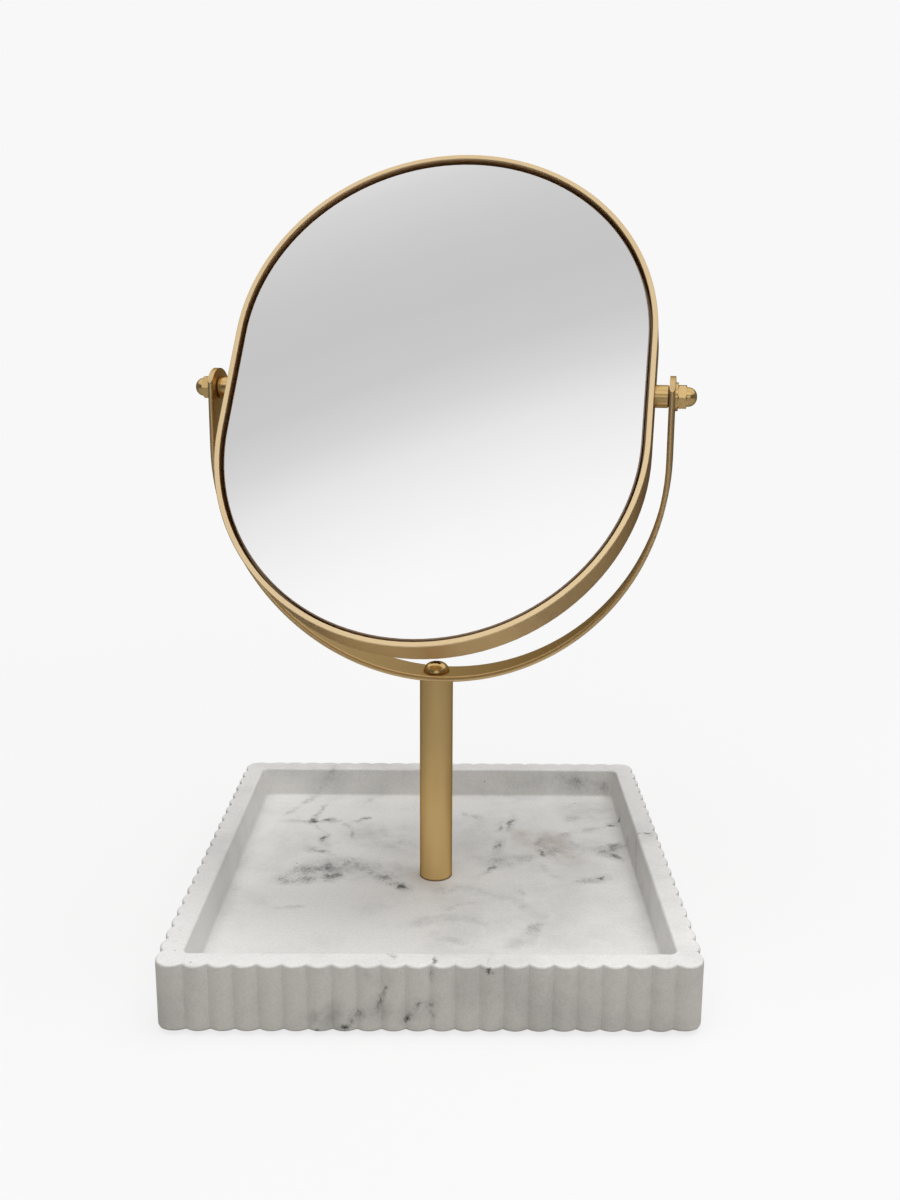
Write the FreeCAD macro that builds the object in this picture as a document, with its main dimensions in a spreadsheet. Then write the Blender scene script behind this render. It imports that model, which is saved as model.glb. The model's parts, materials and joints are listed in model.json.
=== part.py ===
import FreeCAD
import Part
import Sketcher
import os
import re

# Table mirror: a stadium-shaped glass in a flat-bar ring, which tilts between the ears of a bent yoke.
# The yoke swivels on a post that stands in a square tray with reeded sides.
# Lengths are millimetres and angles degrees. +Z is up and the front faces -Y.
# The origin is the middle of the underside, on the surface that the foot pads rest on.

# Driving sizes, one sheet cell each
SIZES = {
    # tray: reeds are arcs that meet in sharp valleys
    "reed_pitch": 8.0,
    "reed_count": 22,
    "reed_radius": 5.0,
    "tray_height": 23.7,
    "base_round": 1.0,
    "base_round_margin": 0.2,
    "rim_width": 8.6,
    "well_draft": 1.6,
    "well_corner": 2.5,
    "well_floor": 11.5,
    "rim_round": 1.0,
    "floor_round": 1.0,
    # foot pads
    "pad_diameter": 14.0,
    "pad_thickness": 1.5,
    "pad_inset": 20.0,
    # post and the threaded inserts in its ends
    "post_diameter": 12.7,
    "post_wall": 1.2,
    "post_length": 82.5,
    "insert_length": 14.0,
    "insert_fit": 0.05,
    # screws: a shank stands clear of its thread and of its running hole
    "thread_diameter": 5.0,
    "thread_fit": 0.05,
    "running_fit": 0.05,
    "head_diameter": 9.5,
    "head_height": 3.7,
    "head_round": 3.2,
    "cross_length": 5.2,
    "cross_width": 1.2,
    "cross_depth": 2.2,
    "yoke_screw_length": 12.0,
    "post_screw_length": 16.0,
    # clamp under the tray floor
    "counterbore_diameter": 18.0,
    "head_sink": 0.4,
    "floor_hole_gap": 0.3,
    "base_washer_diameter": 15.0,
    "base_washer_thickness": 1.2,
    "spring_washer_diameter": 9.2,
    "spring_washer_thickness": 1.2,
    "spring_washer_slit": 1.0,
    # yoke: flat bar with fully rounded edges, long enough for the mirror to turn right over
    "yoke_width": 16.0,
    "yoke_thickness": 2.0,
    "sweep_clearance": 3.2,
    "ear_shoulder": 2.0,
    "ear_top": 7.2,
    "seat_margin": 0.3,
    "spot_face_depth": 0.15,
    "spot_face_margin": 0.3,
    # mirror frame: flat bar on edge
    "frame_width": 157.2,
    "frame_height": 197.8,
    "frame_wall": 1.9,
    "frame_depth": 15.0,
    "frame_round": 0.3,
    "pivot_setback": 7.0,
    # what the frame holds, from the front
    "glass_recess": 1.7,
    "glass_gap": 1.1,
    "glass_thickness": 3.0,
    "glass_arris": 0.4,
    "tape_thickness": 0.8,
    "tape_margin": 8.0,
    "board_thickness": 5.0,
    "board_gap": 0.3,
    "pan_gap": 0.08,
    "pan_thickness": 0.8,
    "pan_depth": 5.0,
    "pan_round": 2.0,
    # pivots, from the frame outwards
    "spigot_diameter": 4.0,
    "shoulder_diameter": 8.0,
    "shoulder_length": 4.6,
    "friction_washer_diameter": 7.4,
    "friction_washer_thickness": 0.5,
    "pivot_washer_diameter": 10.0,
    "pivot_washer_thickness": 1.0,
    "nut_flats": 8.0,
    "nut_hex_length": 2.9,
    "nut_chamfer": 0.3,
    "nut_dome_diameter": 6.8,
    "nut_dome_length": 3.6,
    "nut_dome_round": 3.1,
    "nut_cap": 1.6,
    "stud_end_gap": 0.5,
    # how the yoke and the mirror are turned in the photograph
    "swivel_rest": 11.5,
    "tilt_rest": 31.5,
    # every cut runs past the solid by this much
    "overrun": 2.0,
}

# Two places on a solid are one when they are no further apart than this
TINY = 0.001

doc = FreeCAD.newDocument("TableMirror")
sheet = doc.addObject("Spreadsheet::Sheet", "Sizes")
for row, (alias, number) in enumerate(SIZES.items(), start=1):
    sheet.set("A" + str(row), str(number))
    sheet.setAlias("A" + str(row), alias)
doc.recompute()


# Sums of sizes

VALLEY = "(reed_count * reed_pitch / 2)"
REED_LINE = f"({VALLEY} - sqrt(reed_radius ^ 2 - (reed_pitch / 2) ^ 2))"
CREST = f"({REED_LINE} + reed_radius)"
WELL_SIDE = f"({CREST} - rim_width)"
LOBE_LINE = f"({VALLEY} - reed_pitch / 2)"
LOBE_RADIUS = "(reed_pitch / sqrt(2))"
ENVELOPE = f"({CREST} + base_round_margin)"
ENVELOPE_CORNER = f"({ENVELOPE} - {LOBE_LINE})"
TRAY_TOP = "(pad_thickness + tray_height)"
WELL_FLOOR = "(pad_thickness + well_floor)"
COUNTERBORE = "(head_height + spring_washer_thickness + base_washer_thickness + head_sink)"
COUNTERBORE_TOP = f"(pad_thickness + {COUNTERBORE})"
WASHER_FOOT = f"({COUNTERBORE_TOP} - base_washer_thickness)"
SPRING_FOOT = f"({WASHER_FOOT} - spring_washer_thickness)"
PAD_SPOT = f"({CREST} - pad_inset)"
POST_TOP = f"({WELL_FLOOR} + post_length)"
POST_BORE = "(post_diameter / 2 - post_wall)"
SHANK = "(thread_diameter / 2)"
RUNNING_HOLE = "(thread_diameter / 2 + running_fit)"
THREAD_HOLE = "(thread_diameter / 2 + thread_fit)"
SHOULDER_END = "(frame_width / 2 + shoulder_length)"
YOKE_INNER = f"({SHOULDER_END} + friction_washer_thickness)"
YOKE_LINE = f"({YOKE_INNER} + yoke_thickness / 2)"
YOKE_OUTER = f"({YOKE_INNER} + yoke_thickness)"
SWEEP = "sqrt((frame_height / 2) ^ 2 + (frame_depth - pivot_setback) ^ 2)"
SPOT_FACE = f"({SWEEP} + sweep_clearance + head_height)"
YOKE_DROP = f"({SPOT_FACE} - spot_face_depth - {YOKE_INNER})"
SEAT = f"({YOKE_DROP} + sqrt({YOKE_OUTER} ^ 2 - (post_diameter / 2 + seat_margin) ^ 2))"
PIVOT_HEIGHT = f"({POST_TOP} + {SEAT})"
HEAD_FOOT = f"({PIVOT_HEIGHT} - {SPOT_FACE})"
EAR_RISE = "(ear_top - ear_shoulder)"
EAR_RADIUS = f"(((yoke_width / 2) ^ 2 + {EAR_RISE} ^ 2) / 2 / {EAR_RISE})"
NUT_START = f"({YOKE_OUTER} + pivot_washer_thickness)"
NUT_HEX_END = f"({NUT_START} + nut_hex_length)"
NUT_END = f"({NUT_HEX_END} + nut_dome_length)"
NUT_BORE_END = f"({NUT_END} - nut_cap)"
NUT_CORNER = "(nut_flats / sqrt(3))"
GLASS_INSET = "(frame_wall + glass_gap)"
TAPE_FRONT = "(glass_recess + glass_thickness)"
BOARD_FRONT = f"({TAPE_FRONT} + tape_thickness)"
PAN_FLOOR = f"({BOARD_FRONT} + board_thickness)"
PAN_BACK = f"({PAN_FLOOR} + pan_thickness)"
PAN_INSET = "(frame_wall + pan_gap)"
PAN_INSIDE = f"({PAN_INSET} + pan_thickness)"


def bound(text):
    """The same sum, with each size named as a cell of the sheet."""
    return re.sub(r"[a-z_]+", lambda word: "Sizes." * (word.group() in SIZES) + word.group(), text)


def value(text):
    """The number that a sum of sizes comes to."""
    return float(sheet.evalExpression(bound(text)))


def spot(along, across):
    return FreeCAD.Vector(value(along), value(across), 0)


# Sketches: each dimension follows a sum of sizes

NORMAL = FreeCAD.Vector(0, 0, 1)
ROOT = (-1, 1)
POINTS_OF_EDGE = ("edge", "start", "end", "centre")
START, END, CENTRE = (POINTS_OF_EDGE.index(name) for name in ("start", "end", "centre"))


def new_body(label):
    body = doc.addObject("PartDesign::Body", label)
    body.Label = label
    return body


def sketch_on(body, name, role, offset="0"):
    """A sketch on one of the body's own origin planes, moved along the plane's normal."""
    sketch = body.newObject("Sketcher::SketchObject", name)
    plane = next(item for item in body.Origin.OriginFeatures if item.Role == role)
    sketch.AttachmentSupport = [(plane, "")]
    sketch.MapMode = "FlatFace"
    sketch.setExpression("AttachmentOffset.Base.z", bound(offset))
    return sketch


def fix(sketch, kind, text, *places):
    index = sketch.addConstraint(Sketcher.Constraint(kind, *places, value(text)))
    sketch.setExpression(f"Constraints[{index}]", bound(text))


def place(sketch, point, along, across):
    """Sets a point's two coordinates from the sketch's origin."""
    if along == across == "0":
        sketch.addConstraint(Sketcher.Constraint("Coincident", *point, *ROOT))
    elif along == "0":
        sketch.addConstraint(Sketcher.Constraint("Vertical", *ROOT, *point))
        fix(sketch, "DistanceY", across, *ROOT, *point)
    elif across == "0":
        sketch.addConstraint(Sketcher.Constraint("Horizontal", *ROOT, *point))
        fix(sketch, "DistanceX", along, *ROOT, *point)
    else:
        fix(sketch, "DistanceX", along, *ROOT, *point)
        fix(sketch, "DistanceY", across, *ROOT, *point)


def draw_circle(sketch, radius, along="0", across="0"):
    index = sketch.addGeometry(Part.Circle(spot(along, across), NORMAL, value(radius)))
    fix(sketch, "Radius", radius, index)
    place(sketch, (index, CENTRE), along, across)


def draw_outline(sketch, points):
    """Straight sides through the points, closed."""
    first = sketch.GeometryCount
    for index, point in enumerate(points):
        sketch.addGeometry(Part.LineSegment(spot(*point), spot(*points[(index + 1) % len(points)])))
    for index, point in enumerate(points):
        before = first + (index - 1) % len(points)
        sketch.addConstraint(Sketcher.Constraint("Coincident", before, END, first + index, START))
        place(sketch, (first + index, START), *point)


def draw_rectangle(sketch, west, south, east, north):
    draw_outline(sketch, [(west, south), (east, south), (east, north), (west, north)])


def draw_slot(sketch, radius, along, across, reach):
    """Two half circles, a reach above and below the middle, joined by straight sides."""
    low, high = f"({across} - {reach})", f"({across} + {reach})"
    east, west = f"({along} + {radius})", f"({along} - {radius})"
    first = sketch.GeometryCount
    sketch.addGeometry(Part.LineSegment(spot(east, low), spot(east, high)))
    crown = spot(along, f"{high} + {radius}")
    sketch.addGeometry(Part.Arc(spot(east, high), crown, spot(west, high)))
    sketch.addGeometry(Part.LineSegment(spot(west, high), spot(west, low)))
    foot = spot(along, f"{low} - {radius}")
    sketch.addGeometry(Part.Arc(spot(west, low), foot, spot(east, low)))
    for side in range(4):
        after = first + (side + 1) % 4
        sketch.addConstraint(Sketcher.Constraint("Tangent", first + side, END, after, START))
    for arc, height in ((first + 1, high), (first + 3, low)):
        place(sketch, (arc, CENTRE), along, height)
        fix(sketch, "Radius", radius, arc)


# Features

def feature(body, kind, name, **settings):
    """A PartDesign feature; settings given as text follow a sum of sizes."""
    item = body.newObject("PartDesign::" + kind, name)
    for setting, content in settings.items():
        if isinstance(content, str):
            item.setExpression(setting, bound(content))
        else:
            setattr(item, setting, content)
    return item


def pad(body, name, sketch, length, backward=False):
    return feature(body, "Pad", name, Profile=sketch, Length=length, Reversed=backward)


def cut(body, name, sketch, length, backward=False):
    return feature(body, "Pocket", name, Profile=sketch, Length=length, Reversed=backward)


def cut_both_ways(body, name, sketch, half):
    item = cut(body, name, sketch, f"2 * {half}")
    item.SideType = "Symmetric"
    return item


def soften(body, name, radius, wanted, kind="Fillet", setting="Radius"):
    """Rounds or bevels the edges of the latest feature that are wanted."""
    doc.recompute()
    base = body.Tip
    edges = base.Shape.Edges
    names = [f"Edge{number}" for number, edge in enumerate(edges, start=1) if wanted(edge.BoundBox)]
    item = feature(body, kind, name, Base=(base, names))
    item.setExpression(setting, bound(radius))
    return item


def bevel(body, name, size, wanted):
    return soften(body, name, size, wanted, "Chamfer", "Size")


def same(one, other):
    return abs(one - other) < TINY


def lies_at(axis, text):
    """A test for edges in the plane that crosses an axis at a sum of sizes."""
    def wanted(box):
        level = value(text)
        return same(getattr(box, axis + "Min"), level) and same(getattr(box, axis + "Max"), level)
    return wanted


def turned(label, axis, points):
    """A turned piece: the half outline of it, drawn on XZ and revolved round Z or X."""
    body = new_body(label)
    sketch = sketch_on(body, label + "_outline", "XZ_Plane")
    draw_outline(sketch, points)
    line = {"Z": "V_Axis", "X": "H_Axis"}[axis]
    feature(body, "Revolution", label + "_turning", Profile=sketch, ReferenceAxis=(sketch, [line]))
    return body


def ring(label, axis, bore, radius, near, far):
    """A turned ring between two places on its axis."""
    corners = [(bore, near), (radius, near), (radius, far), (bore, far)]
    if axis == "X":
        corners = [(place_on_axis, out) for out, place_on_axis in corners]
    return turned(label, axis, corners)


def stand(item, height="0", yaw="0", roll="0"):
    """Sets a piece in the assembly: raised, rolled round X, then turned round Z."""
    item.setExpression("Placement", bound(f"placement(vector(0; 0; {height}); rotation({yaw}; 0; {roll}))"))


# Tray: a block with a row of reeds on each side, one lobe at each corner, and a square well whose walls lean outwards

def lean_walls(body, well):
    """Tilts the well's four walls about the rim, so that the well narrows towards its floor."""
    doc.recompute()
    walls, rim = [], None
    for number, face in enumerate(well.Shape.Faces, start=1):
        box = face.BoundBox
        if lies_at("Z", TRAY_TOP)(box):
            rim = f"Face{number}"
        elif same(box.ZMin, value(WELL_FLOOR)) and same(min(box.XLength, box.YLength), 0):
            walls.append(f"Face{number}")
    item = feature(body, "Draft", "well_walls", Base=(well, walls), NeutralPlane=(well, [rim]))
    item.setExpression("Angle", bound("atan(well_draft / (tray_height - well_floor))"))


def make_tray():
    block = new_body("reeded_block")
    sketch = sketch_on(block, "core_outline", "XY_Plane", "pad_thickness")
    draw_rectangle(sketch, f"-{REED_LINE}", f"-{REED_LINE}", REED_LINE, REED_LINE)
    pad(block, "core", sketch, "tray_height")

    sketch = sketch_on(block, "lobe_outline", "XY_Plane", "pad_thickness")
    draw_circle(sketch, LOBE_RADIUS, LOBE_LINE, f"-{LOBE_LINE}")
    lobe = pad(block, "lobe", sketch, "tray_height")
    corners = feature(block, "PolarPattern", "lobes", Originals=[lobe], Axis=(sketch, ["N_Axis"]))
    corners.Angle = 360
    corners.Occurrences = 4
    block.Tip = corners

    sketch = sketch_on(block, "reed_outline", "XY_Plane", "pad_thickness")
    draw_circle(sketch, "reed_radius", f"(reed_pitch * 3 / 2 - {VALLEY})", f"-{REED_LINE}")
    reed = pad(block, "reed", sketch, "tray_height")
    row = doc.addObject("PartDesign::LinearPattern", "reed_row")
    row.Direction = (sketch, ["H_Axis"])
    row.setExpression("Length", bound("(reed_count - 3) * reed_pitch"))
    row.setExpression("Occurrences", bound("reed_count - 2"))
    quarter = doc.addObject("PartDesign::PolarPattern", "reed_sides")
    quarter.Axis = (sketch, ["N_Axis"])
    quarter.Angle = 360
    quarter.Occurrences = 4
    reeds = feature(block, "MultiTransform", "reeds", Originals=[reed], Transformations=[row, quarter])
    block.Tip = reeds

    sketch = sketch_on(block, "well_outline", "XY_Plane", f"{TRAY_TOP} + overrun")
    draw_rectangle(sketch, f"-{WELL_SIDE}", f"-{WELL_SIDE}", WELL_SIDE, WELL_SIDE)
    well = cut(block, "well", sketch, "tray_height - well_floor + overrun")
    lean_walls(block, well)

    def in_well_corner(box):
        lean = value("well_draft")
        return same(box.XLength, lean) and same(box.YLength, lean) and same(box.ZMin, value(WELL_FLOOR))

    def on_rim(box):
        reach = max(box.XMax, box.YMax, -box.XMin, -box.YMin)
        return lies_at("Z", TRAY_TOP)(box) and reach < value(WELL_SIDE) + TINY

    soften(block, "well_corners", "well_corner", in_well_corner)
    soften(block, "well_rim", "rim_round", on_rim)
    soften(block, "well_foot", "floor_round", lies_at("Z", WELL_FLOOR))

    sketch = sketch_on(block, "counterbore_outline", "XY_Plane", "pad_thickness - overrun")
    draw_circle(sketch, "counterbore_diameter / 2")
    cut(block, "counterbore", sketch, f"{COUNTERBORE} + overrun", backward=True)
    sketch = sketch_on(block, "post_hole_outline", "XY_Plane")
    draw_circle(sketch, "thread_diameter / 2 + floor_hole_gap")
    cut(block, "post_hole", sketch, TRAY_TOP, backward=True)

    envelope = new_body("round_edged_block")
    sketch = sketch_on(envelope, "envelope_outline", "XY_Plane", "pad_thickness")
    draw_rectangle(sketch, f"-{ENVELOPE}", f"-{ENVELOPE}", ENVELOPE, ENVELOPE)
    pad(envelope, "envelope", sketch, "tray_height")
    soften(envelope, "envelope_corners", ENVELOPE_CORNER, lambda box: same(box.XLength + box.YLength, 0))
    soften(envelope, "envelope_foot", "base_round", lies_at("Z", "pad_thickness"))

    tray = doc.addObject("Part::MultiCommon", "tray")
    tray.Label = "tray"
    tray.Shapes = [block, envelope]
    return tray


def make_foot_pad(label, along, across):
    disc = doc.addObject("Part::Cylinder", label)
    disc.Label = label
    disc.setExpression("Radius", bound("pad_diameter / 2"))
    disc.setExpression("Height", bound("pad_thickness"))
    disc.setExpression("Placement.Base.x", bound(f"{along} * {PAD_SPOT}"))
    disc.setExpression("Placement.Base.y", bound(f"{across} * {PAD_SPOT}"))
    return disc


# Post: a tube with a threaded insert in each end, clamped through the tray floor

def make_screw(label, length):
    """A pan-head screw, its head's underside at the origin and its shank pointing down."""
    body = turned(label, "Z", [
        ("0", f"-{length}"),
        (SHANK, f"-{length}"),
        (SHANK, "0"),
        ("head_diameter / 2", "0"),
        ("head_diameter / 2", "head_height"),
        ("0", "head_height"),
    ])
    soften(body, label + "_pan", "head_round", lies_at("Z", "head_height"))
    for name, along, across in (
        ("_slot", "cross_length", "cross_width"),
        ("_cross_slot", "cross_width", "cross_length"),
    ):
        sketch = sketch_on(body, label + name + "_outline", "XY_Plane", "head_height + overrun")
        draw_rectangle(sketch, f"-{along} / 2", f"-{across} / 2", f"{along} / 2", f"{across} / 2")
        cut(body, label + name, sketch, "cross_depth + overrun")
    return body


def make_post():
    ring("post_tube", "Z", POST_BORE, "post_diameter / 2", WELL_FLOOR, POST_TOP)
    plug = f"({POST_BORE} - insert_fit)"
    ring("post_bottom_insert", "Z", THREAD_HOLE, plug, WELL_FLOOR, f"{WELL_FLOOR} + insert_length")
    ring("post_top_insert", "Z", THREAD_HOLE, plug, f"{POST_TOP} - insert_length", POST_TOP)
    ring("post_washer", "Z", RUNNING_HOLE, "base_washer_diameter / 2", WASHER_FOOT, COUNTERBORE_TOP)
    spring = ring(
        "post_spring_washer", "Z", RUNNING_HOLE, "spring_washer_diameter / 2", SPRING_FOOT, WASHER_FOOT
    )
    sketch = sketch_on(spring, "slit_outline", "XY_Plane", SPRING_FOOT + " - overrun")
    half = "spring_washer_slit / 2"
    draw_rectangle(sketch, "0", f"-{half}", "spring_washer_diameter", half)
    cut(spring, "slit", sketch, "spring_washer_thickness + 2 * overrun", backward=True)
    stand(make_screw("post_screw", "post_screw_length"), SPRING_FOOT, roll="180")
    stand(make_screw("yoke_screw", "yoke_screw_length"), HEAD_FOOT, yaw="45 - swivel_rest")


# Yoke: flat bar swept down one arm, round the bend and up the other; the pivot axis is its X axis

def make_yoke():
    body = new_body("yoke")
    path = sketch_on(body, "yoke_path", "XZ_Plane")
    west, low = f"-{YOKE_LINE}", f"-{YOKE_DROP}"
    corners = [(west, "ear_top"), (west, low), (YOKE_LINE, low), (YOKE_LINE, "ear_top")]
    foot = spot("0", f"{low} - {YOKE_LINE}")
    path.addGeometry(Part.LineSegment(spot(*corners[0]), spot(*corners[1])))
    path.addGeometry(Part.Arc(spot(*corners[1]), foot, spot(*corners[2])))
    path.addGeometry(Part.LineSegment(spot(*corners[2]), spot(*corners[3])))
    for index in range(2):
        path.addConstraint(Sketcher.Constraint("Coincident", index, END, index + 1, START))
    for index, (line, point) in enumerate(((0, START), (0, END), (2, START), (2, END))):
        place(path, (line, point), *corners[index])
    fix(path, "DistanceY", low, *ROOT, 1, CENTRE)

    section = sketch_on(body, "bar_section", "XY_Plane", "ear_top")
    edge = "(yoke_thickness / 2)"
    draw_slot(section, edge, west, "0", f"(yoke_width / 2 - {edge})")
    feature(body, "AdditivePipe", "bent_bar", Profile=section, Spine=(path, ["Edge1", "Edge2", "Edge3"]))

    # ears: each end is cut to an arc that meets the rolled edges at a corner
    ears = sketch_on(body, "ear_outline", "YZ_Plane")
    side, past = "(yoke_width / 2)", "(yoke_width / 2 + overrun)"
    top = "ear_top + overrun"
    corners = [(side, "ear_shoulder"), (past, "ear_shoulder"), (past, top)]
    corners += [(f"-{past}", top), (f"-{past}", "ear_shoulder"), (f"-{side}", "ear_shoulder")]
    for index in range(5):
        ears.addGeometry(Part.LineSegment(spot(*corners[index]), spot(*corners[index + 1])))
    ears.addGeometry(Part.Arc(spot(*corners[0]), spot("0", "ear_top"), spot(*corners[5])))
    for index in range(4):
        ears.addConstraint(Sketcher.Constraint("Coincident", index, END, index + 1, START))
    ears.addConstraint(Sketcher.Constraint("Coincident", 5, START, 0, START))
    ears.addConstraint(Sketcher.Constraint("Coincident", 5, END, 4, END))
    for index in range(5):
        place(ears, (index, START), *corners[index])
    place(ears, (4, END), *corners[5])
    fix(ears, "Radius", EAR_RADIUS, 5)
    cut_both_ways(body, "ears", ears, f"({YOKE_OUTER} + overrun)")

    holes = sketch_on(body, "pivot_hole_outline", "YZ_Plane")
    draw_circle(holes, RUNNING_HOLE)
    cut_both_ways(body, "pivot_holes", holes, f"({YOKE_OUTER} + overrun)")

    # seat: pressed flat under the bend, with a spot face and a hole for the screw above it
    seat = sketch_on(body, "seat_outline", "XZ_Plane")
    reach = "(post_diameter + overrun)"
    draw_rectangle(seat, f"-{reach}", f"-({YOKE_DROP} + {YOKE_OUTER} + overrun)", reach, f"-{SEAT}")
    cut_both_ways(body, "seat", seat, "(yoke_width / 2 + overrun)")
    spot_face = sketch_on(body, "spot_face_outline", "XY_Plane", f"-{SPOT_FACE}")
    draw_circle(spot_face, "head_diameter / 2 + spot_face_margin")
    cut(body, "spot_face", spot_face, "overrun", backward=True)
    hole = sketch_on(body, "screw_hole_outline", "XY_Plane", f"-{SPOT_FACE} + overrun")
    draw_circle(hole, RUNNING_HOLE)
    cut(body, "screw_hole", hole, "yoke_thickness + 2 * overrun")
    stand(body, PIVOT_HEIGHT, yaw="-swivel_rest")


# Mirror: every piece is a stadium, set in from the frame's outside; depths run back from its front edge

def draw_stadium(sketch, inset):
    reach = "((frame_height - frame_width) / 2)"
    draw_slot(sketch, f"(frame_width / 2 - {inset})", "0", "0", reach)


def stadium_slab(label, inset, front, thickness):
    body = new_body(label)
    sketch = sketch_on(body, label + "_outline", "XZ_Plane", f"pivot_setback - {front}")
    draw_stadium(sketch, inset)
    pad(body, label + "_slab", sketch, thickness, backward=True)
    stand(body, PIVOT_HEIGHT, yaw="-swivel_rest", roll="-tilt_rest")
    return body


def crosswise(box):
    """A test for edges that lie in a plane parallel to the glass."""
    return same(box.YLength, 0)


def make_mirror():
    frame = stadium_slab("mirror_frame", "0", "0", "frame_depth")
    sketch = sketch_on(frame, "opening_outline", "XZ_Plane", "pivot_setback + overrun")
    draw_stadium(sketch, "frame_wall")
    cut(frame, "opening", sketch, "frame_depth + 2 * overrun")
    soften(frame, "frame_edges", "frame_round", crosswise)
    sketch = sketch_on(frame, "spigot_hole_outline", "YZ_Plane")
    draw_circle(sketch, "spigot_diameter / 2 + running_fit")
    cut_both_ways(frame, "spigot_holes", sketch, "(frame_width / 2 + overrun)")

    glass = stadium_slab("mirror_glass", GLASS_INSET, "glass_recess", "glass_thickness")
    bevel(glass, "glass_edges", "glass_arris", crosswise)
    stadium_slab("glass_tape", f"({GLASS_INSET} + tape_margin)", TAPE_FRONT, "tape_thickness")
    stadium_slab("backing_board", f"({PAN_INSIDE} + board_gap)", BOARD_FRONT, "board_thickness")

    pan = stadium_slab("back_pan", PAN_INSET, f"({PAN_BACK} - pan_depth)", "pan_depth")
    soften(pan, "pan_outer_edge", "pan_round", lies_at("Y", f"{PAN_BACK} - pivot_setback"))
    sketch = sketch_on(pan, "pan_inside_outline", "XZ_Plane", f"pivot_setback - {PAN_BACK} + pan_depth + overrun")
    draw_stadium(sketch, PAN_INSIDE)
    cut(pan, "pan_inside", sketch, "pan_depth - pan_thickness + overrun")


# Pivots: each stack of pieces lies on the mirror's X axis, and the left one is turned half round

def make_pivot(side, yaw, roll):
    stud = turned(f"pivot_stud_{side}", "X", [
        ("frame_width / 2 - frame_wall", "0"),
        ("frame_width / 2 - frame_wall", "spigot_diameter / 2"),
        ("frame_width / 2", "spigot_diameter / 2"),
        ("frame_width / 2", "shoulder_diameter / 2"),
        (SHOULDER_END, "shoulder_diameter / 2"),
        (SHOULDER_END, SHANK),
        (f"{NUT_BORE_END} - stud_end_gap", SHANK),
        (f"{NUT_BORE_END} - stud_end_gap", "0"),
    ])
    friction = ring(
        f"friction_washer_{side}", "X", RUNNING_HOLE, "friction_washer_diameter / 2", SHOULDER_END, YOKE_INNER
    )
    washer = ring(
        f"pivot_washer_{side}", "X", RUNNING_HOLE, "pivot_washer_diameter / 2", YOKE_OUTER, NUT_START
    )
    for item in (stud, friction, washer):
        stand(item, PIVOT_HEIGHT, yaw, roll)
    make_nut(f"cap_nut_{side}", yaw)


def make_nut(label, yaw):
    """A domed cap nut; it rests with a corner of its hexagon to the front, however far the mirror tilts."""
    low = f"({NUT_CORNER} - nut_chamfer * sqrt(3))"
    body = turned(label, "X", [
        (NUT_START, THREAD_HOLE),
        (NUT_START, low),
        (f"{NUT_START} + nut_chamfer", NUT_CORNER),
        (f"{NUT_HEX_END} - nut_chamfer", NUT_CORNER),
        (NUT_HEX_END, low),
        (NUT_HEX_END, "nut_dome_diameter / 2"),
        (NUT_END, "nut_dome_diameter / 2"),
        (NUT_END, "0"),
        (NUT_BORE_END, "0"),
        (NUT_BORE_END, THREAD_HOLE),
    ])
    soften(body, label + "_dome", "nut_dome_round", lies_at("X", NUT_END))
    sketch = sketch_on(body, label + "_hexagon", "YZ_Plane", NUT_START)
    draw_circle(sketch, f"{NUT_CORNER} + overrun")
    across, along = "(nut_flats / 2)", f"({NUT_CORNER} / 2)"
    draw_outline(sketch, [
        (NUT_CORNER, "0"),
        (along, across),
        (f"-{along}", across),
        (f"-{NUT_CORNER}", "0"),
        (f"-{along}", f"-{across}"),
        (along, f"-{across}"),
    ])
    cut(body, label + "_flats", sketch, "nut_hex_length", backward=True)
    stand(body, PIVOT_HEIGHT, yaw)


make_tray()
make_foot_pad("foot_pad_front_left", -1, -1)
make_foot_pad("foot_pad_front_right", 1, -1)
make_foot_pad("foot_pad_rear_left", -1, 1)
make_foot_pad("foot_pad_rear_right", 1, 1)
make_post()
make_yoke()
make_mirror()
make_pivot("right", "(-swivel_rest)", "(-tilt_rest)")
make_pivot("left", "(180 - swivel_rest)", "(tilt_rest)")
doc.recompute()

NODES = [
    "tray",
    "foot_pad_front_left",
    "foot_pad_front_right",
    "foot_pad_rear_left",
    "foot_pad_rear_right",
    "post_tube",
    "post_bottom_insert",
    "post_top_insert",
    "post_screw",
    "post_washer",
    "post_spring_washer",
    "yoke_screw",
    "yoke",
    "mirror_frame",
    "mirror_glass",
    "glass_tape",
    "backing_board",
    "back_pan",
    "pivot_stud_left",
    "pivot_stud_right",
    "friction_washer_left",
    "friction_washer_right",
    "pivot_washer_left",
    "pivot_washer_right",
    "cap_nut_left",
    "cap_nut_right",
]

for item in doc.Objects:
    if "Invalid" in item.State or "Error" in item.State:
        raise ValueError(f"{item.Label} did not build")

os.makedirs("parts", exist_ok=True)
for label in NODES:
    shape = doc.getObjectsByLabel(label)[0].Shape
    if shape.isNull() or not shape.isValid() or len(shape.Solids) != 1:
        raise ValueError(f"{label} is not one sound solid")
    shape.exportStep(f"parts/{label}.step")
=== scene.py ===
"""A round-ended mirror that swivels and tilts in a yoke over a reeded stone tray.

The script makes the tray, every finish, the stage and the camera.
"""

import json
import math
from functools import partial

import bmesh
import bpy
from bpy.props import FloatProperty, FloatVectorProperty, IntProperty, PointerProperty
from mathutils import Matrix, Vector

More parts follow.
